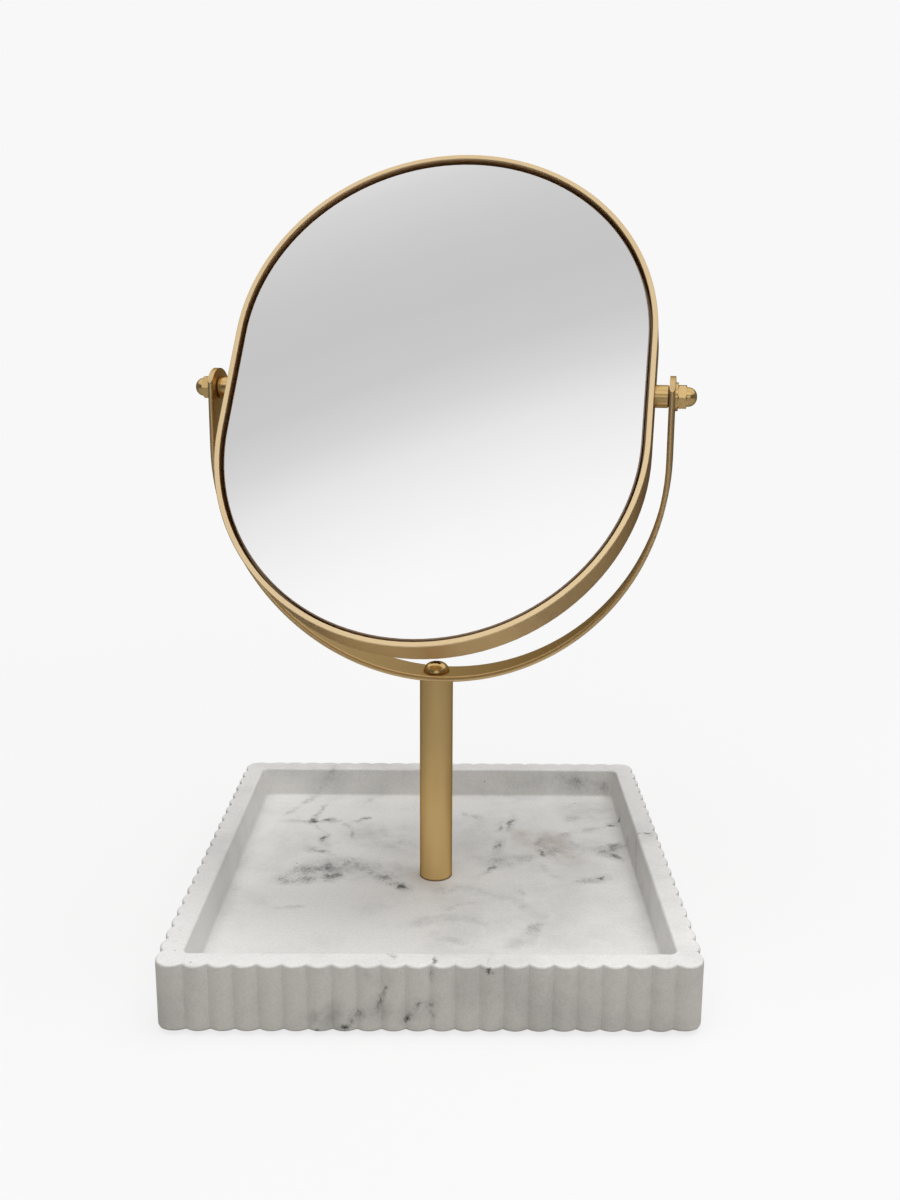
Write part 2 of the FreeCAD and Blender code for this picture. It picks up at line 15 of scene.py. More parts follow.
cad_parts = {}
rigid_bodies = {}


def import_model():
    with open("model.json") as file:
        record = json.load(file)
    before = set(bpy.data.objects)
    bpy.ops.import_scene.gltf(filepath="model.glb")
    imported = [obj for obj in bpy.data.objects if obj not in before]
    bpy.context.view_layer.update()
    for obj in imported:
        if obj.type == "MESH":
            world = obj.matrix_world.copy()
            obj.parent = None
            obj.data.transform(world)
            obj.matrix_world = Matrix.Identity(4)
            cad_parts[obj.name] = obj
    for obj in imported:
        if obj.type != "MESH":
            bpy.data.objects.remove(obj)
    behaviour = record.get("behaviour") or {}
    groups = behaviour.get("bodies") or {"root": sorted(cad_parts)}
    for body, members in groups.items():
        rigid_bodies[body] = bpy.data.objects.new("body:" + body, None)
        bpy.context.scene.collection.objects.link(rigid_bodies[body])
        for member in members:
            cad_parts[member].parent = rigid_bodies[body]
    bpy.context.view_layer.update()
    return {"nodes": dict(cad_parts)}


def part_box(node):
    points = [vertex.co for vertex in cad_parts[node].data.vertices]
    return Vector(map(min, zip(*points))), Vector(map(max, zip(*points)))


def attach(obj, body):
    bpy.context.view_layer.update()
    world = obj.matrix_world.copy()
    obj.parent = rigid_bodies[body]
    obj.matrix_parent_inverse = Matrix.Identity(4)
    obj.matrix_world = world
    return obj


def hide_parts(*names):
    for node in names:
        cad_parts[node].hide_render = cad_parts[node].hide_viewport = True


# Blender's own starting cube, lamp and camera go first, so that only the mirror is left.
for leftover in list(bpy.data.objects):
    bpy.data.objects.remove(leftover)

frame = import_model()
NODES = frame["nodes"]
MM = 0.001

bl_info = {
    "name": "Table mirror on a reeded tray",
    "version": (1, 0, 0),
    "blender": (4, 5, 0),
    "location": "View3D > Sidebar > Table Mirror",
    "description": "Grows the reeded stone tray, finishes the metal and glass, and sets the stage",
    "category": "Object",
}


def linear(code):
    """A hex sRGB colour as the linear red, green and blue that Blender mixes with."""
    parts = (int(code[at : at + 2], 16) / 255 for at in (1, 3, 5))
    return tuple(part / 12.92 if part <= 0.04045 else ((part + 0.055) / 1.055) ** 2.4 for part in parts)


def dimmed(tint, shares):
    """A colour with its red, green and blue cut to these shares."""
    return tuple(part * share for part, share in zip(tint, shares))


def plug(socket, source):
    """Links a node or a socket to an input, or sets the input; a colour gets an alpha of one."""
    if isinstance(source, bpy.types.Node):
        source = next(out for out in source.outputs if out.enabled)
    if isinstance(source, bpy.types.NodeSocket):
        socket.id_data.links.new(source, socket)
    elif source is not None:
        socket.default_value = (*source, 1.0) if socket.type == "RGBA" else source


def add(tree, kind, inputs=(), **settings):
    """Adds a node. Settings are its own options; inputs are given in order or by name."""
    new = tree.nodes.new(kind)
    for option, value in settings.items():
        setattr(new, option, value)
    free = [socket for socket in new.inputs if socket.enabled]
    if isinstance(inputs, dict):
        named = {socket.name: socket for socket in reversed(free)}
        free, inputs = [named[name] for name in inputs], inputs.values()
    for socket, source in zip(free, inputs):
        plug(socket, source)
    return new


def emptied(block):
    """Turns nodes on in a new material or world, and returns what adds nodes to its empty tree."""
    block.use_nodes = True
    block.node_tree.nodes.clear()
    return partial(add, block.node_tree)


# Kinds of node by a short name. A range takes a value, the two levels it runs between and the two it becomes.
MATH, VECTOR, WHOLE = "ShaderNodeMath", "ShaderNodeVectorMath", "FunctionNodeIntegerMath"
MIX, RAMP, RANGE, NOISE = "ShaderNodeMix", "ShaderNodeValToRGB", "ShaderNodeMapRange", "ShaderNodeTexNoise"
COORDINATES, PRINCIPLED = "ShaderNodeTexCoord", "ShaderNodeBsdfPrincipled"
SURFACE, BUMP, JOIN = "ShaderNodeOutputMaterial", "ShaderNodeBump", "ShaderNodeCombineXYZ"

# The middle of a noise's colour, and the levels that most of a noise lies between.
NOISE_MEAN, NOISE_SPAN = (0.5, 0.5, 0.5), (0.3, 0.7)


# ---- sizes and colours a user would change

tray_low, tray_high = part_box("tray")
post_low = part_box("post_tube")[0]

# The pivots' axis, and the way that the glass faces at rest: swivelled 11.5 degrees, tilted back 31.5 degrees.
SWIVEL, TILT = math.radians(11.5), math.radians(31.5)
PIVOT_AXIS = (math.cos(SWIVEL), -math.sin(SWIVEL), 0.0)
GLASS_FACING = (-math.sin(SWIVEL) * math.cos(TILT), -math.cos(SWIVEL) * math.cos(TILT), math.sin(TILT))
# A face is the back's inside, or the mirror itself, when its cosine with that way is over this.
INSIDE_COSINE, MIRROR_COSINE = 0.5, 0.85


def length(name, description, millimetres):
    return FloatProperty(
        name=name, description=description, default=millimetres * MM, min=0.0, precision=5,
        subtype="DISTANCE", unit="LENGTH",
    )


def colour(name, description, code):
    return FloatVectorProperty(
        name=name, description=description, default=linear(code), min=0.0, max=1.0, size=3, subtype="COLOR",
    )


def power(name, description, watts):
    return FloatProperty(name=name, description=description, default=watts, min=0.0, subtype="POWER", unit="POWER")


class TraySizes(bpy.types.PropertyGroup):
    """Sizes of the reeded tray; its height and place come from the CAD model."""

    reeds: IntProperty(
        name="Reeds", description="Reeds along one side, corner lobes included", default=22, min=4, max=60,
    )
    steps: IntProperty(name="Steps", description="Facets across one reed", default=14, min=4, max=24)
    pitch: length("Pitch", "From one reed to the next", 8.0)
    reed_radius: length("Reed radius", "Radius of a reed's round front", 5.0)
    valley_softness: length("Valley softness", "How far the mould's paint fills the valley between two reeds", 0.35)
    base_round: length("Base round", "Round along the bottom edge", 1.0)
    top_round: length("Top round", "Round along the top outer edge", 0.9)
    rim_width: length("Rim width", "From a reed's crest to the well", 8.6)
    rim_round: length("Rim round", "Round along the well's top edge", 1.0)
    well_draft: length("Well draft", "How far the well's walls lean in at their foot", 1.6)
    well_corner: length("Well corner", "Radius of the well's upright corners", 2.5)
    floor_round: length("Floor round", "Round along the well's foot", 1.0)
    counterbore_radius: length("Counterbore radius", "Radius of the recess for the post's screw", 9.0)
    counterbore_depth: length("Counterbore depth", "Depth of that recess from the underside", 6.5)
    hole_radius: length("Hole radius", "Radius of the hole for the post's screw", 2.8)


class FinishColours(bpy.types.PropertyGroup):
    """Colours of the finishes."""

    stone: colour("Stone", "Cast stone between its veins", "#EBEAE8")
    cloud: colour("Cloud", "Greyer clouds and smears in the stone", "#C4C4C3")
    vein: colour("Vein", "Veins and grains in the stone", "#575655")
    blush: colour("Blush", "Warm stain around some veins", "#B4A69B")
    brass: colour("Brass", "Brass plating of the mirror's frame and back", "#FADEB0")
    dull_brass: colour("Dull brass", "Duller brass plating of the yoke", "#E6C894")
    deep_brass: colour("Deep brass", "Deeper brass plating of the post and pivots", "#E6C487")
    silvering: colour("Silvering", "Mirror silvering seen through the glass", "#FAFAFA")
    glass_edge: colour("Glass edge", "Ground edge of the glass", "#B4A398")
    rubber: colour("Rubber", "Rubber foot pads", "#D9D7D0")
    zinc: colour("Zinc", "Zinc plating on hidden steel", "#C6CACD")
    nylon: colour("Nylon", "Moulded friction washers", "#4A3A24")
    board: colour("Board", "Fibreboard behind the glass", "#B0926C")
    tape: colour("Tape", "Acrylic tape behind the glass", "#E2E2DE")


class StageSettings(bpy.types.PropertyGroup):
    """Background and light."""

    backdrop: colour("Backdrop", "Floor and backdrop as the camera sees them", "#F8F8F8")
    key_power: power("Key power", "Power of the softbox overhead", 20.0)
    side_power: power("Side power", "Power of the weaker softbox on the right", 1.4)
    room_light: FloatProperty(
        name="Room light", description="Strength of the light that the room scatters", default=0.22, min=0.0, max=2.0,
    )


# ---- materials

# The faces that veins are drawn on: the directions of their two measures, and a point on them (mm).
VEIN_FACES = {
    "floor": ("X", "Y", (0, 0, 13)),
    "rim": ("X", "Y", (0, 0, 25)),
    "under": ("X", "Y", (0, 0, 1.5)),
    "front": ("X", "Z", (0, -89, 0)),
    "back": ("X", "Z", (0, 89, 0)),
    "left": ("Y", "Z", (-89, 0, 0)),
    "right": ("Y", "Z", (89, 0, 0)),
    "well_back": ("X", "Z", (0, 80, 0)),
    "well_right": ("Y", "Z", (80, 0, 0)),
}
# Veins by how dark they are, then by face: half width, then the points of the line (mm).
VEINS = {
    1.15: {
        "floor": [
            (2.6, (-58, 49), (-53.5, 49.5)), (1.5, (-48.6, 36), (-48, 31)), (2.2, (-49, 21.5), (-45.5, 19)),
            (3.0, (-19, -7.5), (-16, -10), (-12.5, -13)), (1.6, (30.5, 43), (33, 53)), (1.7, (20.5, 1), (22.5, 8)),
            (1.8, (64.5, -4.5), (67, -2)), (1.9, (72, 45), (76, 47)), (1.9, (78, 51), (80, 52)),
            (1.9, (42, 23), (44, 18)),
        ],
        "front": [
            (1.6, (-28.6, 3), (-26, 4.5)), (1.3, (-15.4, 16.2), (-15, 18)), (1.5, (-6.8, 6), (-5.5, 7)),
            (1.3, (-3.4, 11), (-2.6, 12.5)), (0.9, (0.8, 10.2), (1.6, 10.2)), (1.0, (-37, 2.6), (-36, 3.4)),
            (0.9, (19.8, 22.8), (20, 24.4)),
        ],
        "rim": [(1.0, (1.6, -84), (2, -89)), (1.2, (81, 11.5), (85, 12.5), (89, 12.5))],
    },
    0.85: {
        "floor": [
            (1.5, (-56, 48), (-55, 55), (-53, 61), (-52, 68)), (2.4, (-51.5, 50.5), (-47, 53)),
            (2.0, (-41, 48), (-39.5, 44)), (1.8, (-38, 50), (-35, 52), (-31, 55)),
            (4.2, (-61, -4.5), (-55, -6), (-46, -4.5), (-38, -1)), (6.2, (-55, -1), (-48, 3), (-40, 6)),
            (5.2, (-44, 7), (-37, 11), (-31, 8.5)), (3.4, (-31, 6), (-24, 0), (-18, -6)), (1.9, (26, 41), (29, 49)),
            (1.8, (25, 23.5), (27, 28)), (4.6, (67, 20), (72, 23), (77, 27)), (3.4, (71, 18), (76, 13)),
        ],
        "front": [
            (2.4, (-27, 4.5), (-24, 7), (-22, 10)), (1.7, (-16.5, 11.5), (-15.8, 14.5), (-15, 18)),
            (1.6, (-6, 7), (-4.5, 9.5), (-2.6, 12.5)),
        ],
        "rim": [(1.3, (-18, -81.5), (-16, -80.5)), (1.4, (-14, -82), (-11.5, -85))],
        "well_right": [(1.5, (12, 24), (6, 19), (0, 14))],
        "left": [(2.2, (-30, 4), (-22, 9), (-12, 12), (-4, 19))],
        "right": [(1.9, (11, 25), (13, 15), (19, 6)), (2.0, (-44, 18), (-36, 12), (-30, 6))],
        "back": [(2.2, (8, 20), (20, 13), (36, 10), (44, 4))],
    },
    0.50: {
        "floor": [
            (2.4, (-68, 59), (-62, 68), (-57, 78)), (1.6, (-54, 46), (-50, 40), (-48, 32)),
            (2.4, (-50, 50), (-43, 51)), (1.7, (-41, 48), (-38, 42), (-35, 31)), (1.7, (-31.6, 71), (-30.6, 77)),
            (4.4, (-31, 8), (-23, 3), (-18, -6)), (2.0, (-60, -29), (-50, -28)), (2.1, (9, 61), (14, 57), (21, 54)),
            (5.0, (20, 9), (30, 12), (38, 17)), (2.0, (50, 35), (61, 40), (71, 45), (79, 52)),
            (4.2, (56, 53), (61, 56)), (2.6, (48, 24), (53, 18)), (2.6, (41, 26), (44, 33)),
            (2.6, (33, -47), (40, -40)), (1.5, (33.5, -13.5), (35, -16)), (2.0, (56, 31), (59, 27)),
            (4.0, (-24, -2), (-18, -8), (-11, -13)), (2.6, (29, 38), (34, 56)), (2.6, (18, -3), (24, 10)),
            (3.0, (24, 20), (28, 31)), (3.6, (56, -8), (68, -2)), (3.0, (-54, 24), (-44, 18)),
            (2.8, (-47, 24), (-49, 38)), (4.5, (40, 26), (52, 16)), (6.0, (-62, -6), (-48, 2), (-34, 4)),
        ],
        "front": [
            (2.0, (-38.5, 6), (-37, 9)), (1.6, (-21.5, 22), (-21, 24)), (1.1, (2, 21), (2.1, 26)),
            (1.6, (1.8, 6.5), (2.2, 8)),
        ],
        "well_back": [
            (2.2, (-56, 14), (-53, 20), (-50, 25)), (2.6, (52, 22.5), (58, 22)), (3.0, (62, 19), (70, 18), (78, 15)),
        ],
        "left": [(2.2, (28, 8), (34, 12), (46, 13))],
        "right": [(2.6, (44, 5), (58, 9))],
        "back": [(2.2, (-40, 6), (-30, 12), (-24, 20)), (2.0, (60, 12), (66, 18))],
        "under": [(4.0, (-60, -50), (-30, -38), (-10, -42)), (5.0, (20, 50), (50, 30), (70, 34))],
    },
}
# Wider smears without grains, and the warm stain that iron leaves in marble.
SMEARS = {
    "floor": [
        (5.0, (-2, -12), (12, -13), (24, -16), (33, -22), (38, -31), (41, -39), (36, -48), (27, -55)),
        (3.4, (4, -29), (11, -24), (19, -25)), (4.4, (-10, -40), (2, -36), (12, -35), (20, -39)),
        (4.0, (0, -50), (12, -52)), (13, (-35, 42), (-22, 34), (-10, 22)), (9, (-24, 4), (-8, 2)),
        (12, (-52, 4), (-36, 8), (-24, 2)), (14, (60, 66), (74, 58)), (11, (42, 30), (60, 26), (76, 22)),
        (9, (18, 14), (34, 13)), (3.0, (44, 9), (46, 0), (52, -6), (60, -8), (66, -4)), (2.6, (-69, 50), (-58, 50)),
    ],
    "front": [(5.0, (-20, 9), (-14, 11)), (6.0, (-36, 6), (-28, 8)), (5.0, (-8, 8), (2, 12))],
    "well_back": [(6.0, (34, 19), (50, 19), (74, 18)), (6.0, (-58, 18), (-44, 20))],
    "right": [(8.0, (-50, 14), (10, 12)), (6.0, (40, 8), (62, 12))],
    "left": [(7.0, (-34, 8), (0, 14)), (7.0, (24, 8), (52, 14))],
    "back": [(8.0, (-44, 10), (-20, 16)), (8.0, (4, 16), (48, 8))],
}
BLUSHES = {"floor": [
    (6.0, (36, 40), (38, 31)), (10.0, (41, 32), (46, 20)), (9.0, (46, 38), (52, 26)), (8.0, (48, 22), (57, 14)),
]}


# A vein lies along the nearest of these turns. It runs a little past its ends, goes this deep into the stone (mm),
# and is gone at this many half widths.
VEIN_TURN = math.radians(15)
RUN_SHARE, END_SHARE, VEIN_DEPTH, VEIN_GONE = 0.6, 0.5, 5, 1.2


def near_veins(node, place, faces):
    """How near a point is to the closest of some veins: one along its line, none a little beyond its half width."""
    turned, closest = {}, None
    for face, lines in faces.items():
        *directions, at = VEIN_FACES[face]
        along, across = (Vector(axis == direction for axis in "XYZ") for direction in directions)
        normal = along.cross(across)
        for half_width, *points in lines:
            spots = [Vector(at) + along * a + across * b for a, b in points]
            for start, end in zip(spots, spots[1:]):
                run = end - start
                # The stone is turned until the vein lies along the face's first direction.
                steps = round(math.atan2(run.dot(across), run.dot(along)) / VEIN_TURN) % round(math.pi / VEIN_TURN)
                turn = -VEIN_TURN * steps
                if (face, steps) not in turned:
                    inputs = {"Vector": place, "Axis": normal, "Angle": turn}
                    turned[face, steps] = node("ShaderNodeVectorRotate", inputs, rotation_type="AXIS_ANGLE")
                middle = Matrix.Rotation(turn, 3, normal) @ ((start + end) / 2)
                reach = along * (run.length * RUN_SHARE + half_width * END_SHARE) + across * half_width
                depth = Vector(abs(part) for part in normal) * (half_width + VEIN_DEPTH)
                shrink = Vector(1 / part for part in reach + depth)
                local = node(VECTOR, [turned[face, steps], shrink / MM, -middle * shrink], operation="MULTIPLY_ADD")
                far = node(VECTOR, [local], operation="LENGTH").outputs["Value"]
                closest = far if closest is None else node(MATH, [closest, far], operation="MINIMUM")
    return node(RANGE, [closest, 0.0, VEIN_GONE, 1.0, 0.0])


# Cast stone, marble look: crushed marble in resin, poured and honed. It gives the eye a soft, almost matt warm
# white with grey clouds, smears that break up into dark grains, thin broken veins and a few pin holes.
def cast_stone(colours):
    material = bpy.data.materials.new("Cast stone, marble look, honed")
    node = emptied(material)
    place = node(COORDINATES).outputs["Object"]
    # Slow folds of the pour, about 26 mm across, bend every pattern below them.
    fold = node(NOISE, {"Vector": place, "Scale": 1 / (26 * MM), "Detail": 4.0, "Roughness": 0.62})
    shove = node(VECTOR, [fold.outputs["Color"], NOISE_MEAN], operation="SUBTRACT")
    folded = node(VECTOR, [shove, (9 * MM,) * 3, place], operation="MULTIPLY_ADD")
    # Ragged edges, from eddies about 5 mm across.
    eddy = node(NOISE, {"Vector": place, "Scale": 1 / (5 * MM), "Detail": 3.0, "Roughness": 0.7})
    nudge = node(VECTOR, [eddy.outputs["Color"], NOISE_MEAN], operation="SUBTRACT")
    ragged = node(VECTOR, [nudge, (6 * MM,) * 3, folded], operation="MULTIPLY_ADD")
    # Clouds, about 34 mm across.
    cloud = node(NOISE, {"Vector": folded, "Scale": 1 / (34 * MM), "Detail": 5.0, "Roughness": 0.62})
    haze = node(RANGE, [cloud, 0.44, 0.74, 0.0, 0.45], interpolation_type="SMOOTHSTEP")
    # Patches about 7 mm across thin the veins out and thicken them.
    patch = node(NOISE, {"Vector": folded, "Scale": 1 / (7 * MM), "Detail": 4.0, "Roughness": 0.65})
    uneven = node(RANGE, [patch, 0.36, 0.64, 0.4, 1.3])
    dense = None
    for strength, faces in VEINS.items():
        vein = node(MATH, [near_veins(node, ragged, faces), strength], operation="MULTIPLY")
        dense = vein if dense is None else node(MATH, [dense, vein], operation="MAXIMUM")
    dense = node(MATH, [dense, uneven], operation="MULTIPLY", use_clamp=True)
    # Crushed stone of about 0.3 mm, drawn at 0.8 mm, as fine as the render shows. The denser a vein, the more of its
    # grains are dark.
    grain = node(NOISE, {"Vector": place, "Scale": 1 / (0.8 * MM), "Detail": 2.0, "Roughness": 0.6})
    bare = node(MATH, [dense, -0.40, 0.66], operation="MULTIPLY_ADD")
    speck = node(RANGE, [node(MATH, [grain, bare], operation="SUBTRACT"), -0.03, 0.07])
    body = node(MATH, [speck, 0.48, 0.52], operation="MULTIPLY_ADD")
    stain = node(MATH, [dense, body], operation="MULTIPLY", use_clamp=True)
    smear = node(MATH, [near_veins(node, ragged, SMEARS), uneven], operation="MULTIPLY")
    clouded = node(MATH, [haze, node(MATH, [smear, 0.75], operation="MULTIPLY")], operation="MAXIMUM", use_clamp=True)
    # Between the veins the crushed stone is only just seen.
    mottle = node(RANGE, [grain, 0.42, 0.75, 0.0, 0.30])
    clouded = node(MATH, [clouded, mottle], operation="ADD", use_clamp=True)
    blush = node(MATH, [near_veins(node, ragged, BLUSHES), uneven], operation="MULTIPLY")
    blush = node(MATH, [blush, 0.55], operation="MULTIPLY", use_clamp=True)
    # Pin holes, one in a few square centimetres, under a millimetre across; their dark colour is painted shade inside
    # them.
    pins = node("ShaderNodeTexVoronoi", {"Vector": place, "Scale": 1 / (7 * MM), "Randomness": 1.0})
    chosen = node("ShaderNodeSeparateColor", [pins.outputs["Color"]])
    rare = node(MATH, [chosen.outputs["Red"], 0.80], operation="GREATER_THAN")
    pin = node(RANGE, [pins.outputs["Distance"], 0.03, 0.065, 0.7, 0.0])
    hole = node(MATH, [pin, rare], operation="MULTIPLY")
    ground = node(MIX, [clouded, colours.stone, colours.cloud], data_type="RGBA")
    blushed = node(MIX, [blush, ground, colours.blush], data_type="RGBA")
    veins = node(MIX, [stain, blushed, colours.vein], data_type="RGBA")
    # The pin holes take a dark colour: painted shade in them.
    pitted = node(MIX, [hole, veins, linear("#57534E")], data_type="RGBA")
    # Honed stone: rough about 0.45, a little uneven from grain to grain.
    rough = node(RANGE, [grain, *NOISE_SPAN, 0.40, 0.50])
    # Grinding leaves a skin of shallow waves about a millimetre across, and the pin holes go in.
    skin = node(MATH, [hole, -1.0, node(MATH, [grain, 0.05], operation="MULTIPLY")], operation="MULTIPLY_ADD")
    bump = node(BUMP, {"Strength": 0.25, "Distance": 0.4 * MM, "Height": skin})
    stone = node(PRINCIPLED, {"Base Color": pitted, "Roughness": rough, "IOR": 1.5, "Normal": bump})
    node(SURFACE, [stone])
    return material


# What both brasses reflect where they are seen at a low angle, the painted shade in the gap round the glass, and the
# painted shade at the post's foot.
BRASS_EDGE, GAP_SHADE, FOOT_SHADE = "#8C7458", "#94806A", "#4A3A28"


# Satin brass plating: steel, sanded and plated, then lacquered. It gives the eye a warm metal with soft reflections
# that darken towards its edges, a grain too fine to follow and slow changes of tone.
def satin_brass(name, tint, rough_from, rough_to, inside=False, foot=None):
    """With an inside, faces towards the glass take a flat painted shade; with a foot, painted shade darkens the metal
    just above that height.
    """
    material = bpy.data.materials.new(name)
    node = emptied(material)
    surface = node(COORDINATES).outputs
    place = surface["Object"]
    # The sanding grain is about 0.1 mm; it is drawn at 0.45 mm, as fine as the render shows.
    grain = node(NOISE, {"Vector": place, "Scale": 1 / (0.45 * MM), "Detail": 2.0, "Roughness": 0.6})
    # Plating thickness changes over some 30 mm.
    tone = node(NOISE, {"Vector": place, "Scale": 1 / (30 * MM), "Detail": 2.0})
    drift = node(RANGE, [tone, *NOISE_SPAN, 0.0, 0.3])
    metal = node(MIX, [drift, tint, dimmed(tint, (0.88, 0.84, 0.78))], data_type="RGBA")
    if inside:
        # The faces towards the glass are coloured flat, as painted shade in the dark gap round the glass.
        faced = node(VECTOR, [surface["Normal"], GLASS_FACING], operation="DOT_PRODUCT").outputs["Value"]
        gap_shaded = node(MATH, [faced, INSIDE_COSINE], operation="GREATER_THAN")
        metal = node(MIX, [gap_shaded, metal, linear(GAP_SHADE)], data_type="RGBA")
    if foot is not None:
        # Painted shade where the tube meets the stone; it is gone 0.9 mm up.
        height = node("ShaderNodeSeparateXYZ", [place]).outputs["Z"]
        foot_shade = node(RANGE, [height, foot + 0.2 * MM, foot + 0.9 * MM, 0.85, 0.0])
        metal = node(MIX, [foot_shade, metal, linear(FOOT_SHADE)], data_type="RGBA")
    rough = node(RANGE, [grain, *NOISE_SPAN, rough_from, rough_to])
    bump = node(BUMP, {"Strength": 0.03, "Distance": 0.05 * MM, "Height": grain})
    brass = node(PRINCIPLED, {
        "Base Color": metal, "Metallic": 1.0, "Roughness": rough, "Specular Tint": linear(BRASS_EDGE), "Normal": bump,
    })
    node(SURFACE, [brass])
    return material


# Turned brass: studs, washers, nuts and screw cut on a lathe, then plated. It gives the eye clear, hard-edged
# reflections with faint rings round the axis that the piece was turned on.
def turned_brass(colours, name, axis):
    material = bpy.data.materials.new(name)
    node = emptied(material)
    place = node(COORDINATES).outputs["Object"]
    along = node(VECTOR, [place, axis], operation="DOT_PRODUCT").outputs["Value"]
    # The tool's feed is about 0.1 mm a turn; its rings are drawn 0.4 mm apart, as fine as the render shows.
    ring = node(NOISE, {"W": along, "Scale": 1 / (0.4 * MM), "Detail": 1.0}, noise_dimensions="1D")
    # Handling leaves duller patches about 3 mm across.
    wear = node(NOISE, {"Vector": place, "Scale": 1 / (3 * MM), "Detail": 3.0})
    drift = node(RANGE, [wear, 0.4, 0.75, 0.0, 0.3])
    worn = dimmed(colours.deep_brass, (0.86, 0.80, 0.70))
    metal = node(MIX, [drift, colours.deep_brass, worn], data_type="RGBA")
    rough = node(RANGE, [wear, *NOISE_SPAN, 0.20, 0.28])
    bump = node(BUMP, {"Strength": 0.10, "Distance": 0.02 * MM, "Height": ring})
    brass = node(PRINCIPLED, {
        "Base Color": metal, "Metallic": 1.0, "Roughness": rough, "Specular Tint": linear(BRASS_EDGE), "Normal": bump,
    })
    node(SURFACE, [brass])
    return material


# Silvered float glass: silver behind 3 mm of glass, with a ground edge. It gives the eye a clear reflection, wiping
# marks that only show as a slight softness, and a dull line all round.
def silvered_glass(colours):
    material = bpy.data.materials.new("Float glass, silvered")
    node = emptied(material)
    surface = node(COORDINATES).outputs
    # Wiping marks about 25 mm wide and three times as long.
    slant = (0.0, math.radians(35), 0.0)
    wiped = node("ShaderNodeMapping", {"Vector": surface["Object"], "Rotation": slant, "Scale": (1.0, 1.0, 0.35)})
    marks = node(NOISE, {"Vector": wiped, "Scale": 1 / (25 * MM), "Detail": 3.0})
    smooth = node(RANGE, [marks, 0.45, 0.8, 0.0, 0.025])
    tint = node(MIX, [marks, colours.silvering, dimmed(colours.silvering, (0.985,) * 3)], data_type="RGBA")
    # Only the front face is a mirror. Grinding leaves the edge rough, with grit marks of 0.5 mm.
    faced = node(VECTOR, [surface["Normal"], GLASS_FACING], operation="DOT_PRODUCT").outputs["Value"]
    front = node(MATH, [faced, MIRROR_COSINE], operation="GREATER_THAN")
    grit = node(NOISE, {"Vector": surface["Object"], "Scale": 1 / (0.5 * MM), "Detail": 2.0})
    ground = node(RANGE, [grit, *NOISE_SPAN, 0.35, 0.55])
    hue = node(MIX, [front, colours.glass_edge, tint], data_type="RGBA")
    rough = node(MIX, [front, ground, smooth], data_type="FLOAT")
    glass = node(PRINCIPLED, {"Base Color": hue, "Metallic": front, "Roughness": rough})
    node(SURFACE, [glass])
    return material


def grained(name, tint, dark_share, grain_mm, rough_from, rough_to, bump_mm, metallic=0.0, ior=1.5):
    """A plain finish with its own fine grain: colour, gloss and height all follow the same grain."""
    material = bpy.data.materials.new(name)
    node = emptied(material)
    place = node(COORDINATES).outputs["Object"]
    grain = node(NOISE, {"Vector": place, "Scale": 1 / (grain_mm * MM), "Detail": 4.0, "Roughness": 0.6})
    level = node(RANGE, [grain, *NOISE_SPAN])
    hue = node(MIX, [level, dimmed(tint, (dark_share,) * 3), tint], data_type="RGBA")
    rough = node(RANGE, [level, 0.0, 1.0, rough_from, rough_to])
    bump = node(BUMP, {"Strength": 0.3, "Distance": bump_mm * MM, "Height": grain})
    inputs = {"Base Color": hue, "Metallic": metallic, "Roughness": rough, "IOR": ior, "Normal": bump}
    node(SURFACE, [node(PRINCIPLED, inputs)])
    return material


def finish(material, *names):
    """Gives CAD pieces a finish through their own material slots."""
    for name in names:
        for slot in NODES[name].material_slots:
            slot.link = "OBJECT"
            slot.material = material


# ---- the reeded tray, grown by Geometry Nodes

TRAY_LENGTHS = (
    "Pitch", "Reed radius", "Valley softness", "Base height", "Top height", "Floor height", "Base round", "Top round",
    "Rim width", "Rim round", "Well draft", "Well corner", "Floor round", "Counterbore radius", "Counterbore depth",
    "Hole radius",
)
TRAY_INPUTS = {
    "Reeds": "NodeSocketInt",
    "Steps": "NodeSocketInt",
    **dict.fromkeys(TRAY_LENGTHS, "NodeSocketFloat"),
    "Stone": "NodeSocketMaterial",
}
# Plan shapes: the hole and its counterbore, the reeds, and the well.
ROUND, REEDED, SQUARE = 0, 1, 2
SIDES = 4
# Facets of a rounded edge, the least radius of the well's corners, and how much of a round reaches the valleys.
ROUND_STEPS, LEAST_CORNER, VALLEY_SHARE = 5, 0.2 * MM, 0.4
# Points this close are welded, and edges sharper than this stay sharp.
WELD, SHARP = 0.001 * MM, math.radians(50)


def section_outline(node, corners):
    """The tray's section as a closed curve. Each corner has a reach, a height, a round and its plan shape."""
    index = node("GeometryNodeInputIndex")
    columns = []
    for column in zip(*corners):
        switch = node("GeometryNodeIndexSwitch", data_type="FLOAT")
        while len(switch.index_switch_items) < len(corners):
            switch.index_switch_items.new()
        for socket, source in zip(switch.inputs, (index, *column)):
            plug(socket, source)
        columns.append(switch)
    reach, height, radius, plan = columns
    ring = node("GeometryNodeCurvePrimitiveCircle", {"Resolution": len(corners)}, mode="RADIUS")
    point = node(JOIN, {"X": reach, "Z": height})
    outline = node("GeometryNodeSetPosition", {"Geometry": ring, "Position": point})
    for name, value in (("plan", plan), ("round", radius)):
        inputs = {"Geometry": outline, "Name": name, "Value": value}
        outline = node("GeometryNodeStoreNamedAttribute", inputs, data_type="FLOAT", domain="POINT")
    kept = node("GeometryNodeInputNamedAttribute", {"Name": "round"}, data_type="FLOAT")
    inputs = {"Curve": outline, "Count": ROUND_STEPS, "Radius": kept, "Limit Radius": True}
    return node("GeometryNodeFilletCurve", inputs, mode="POLY")


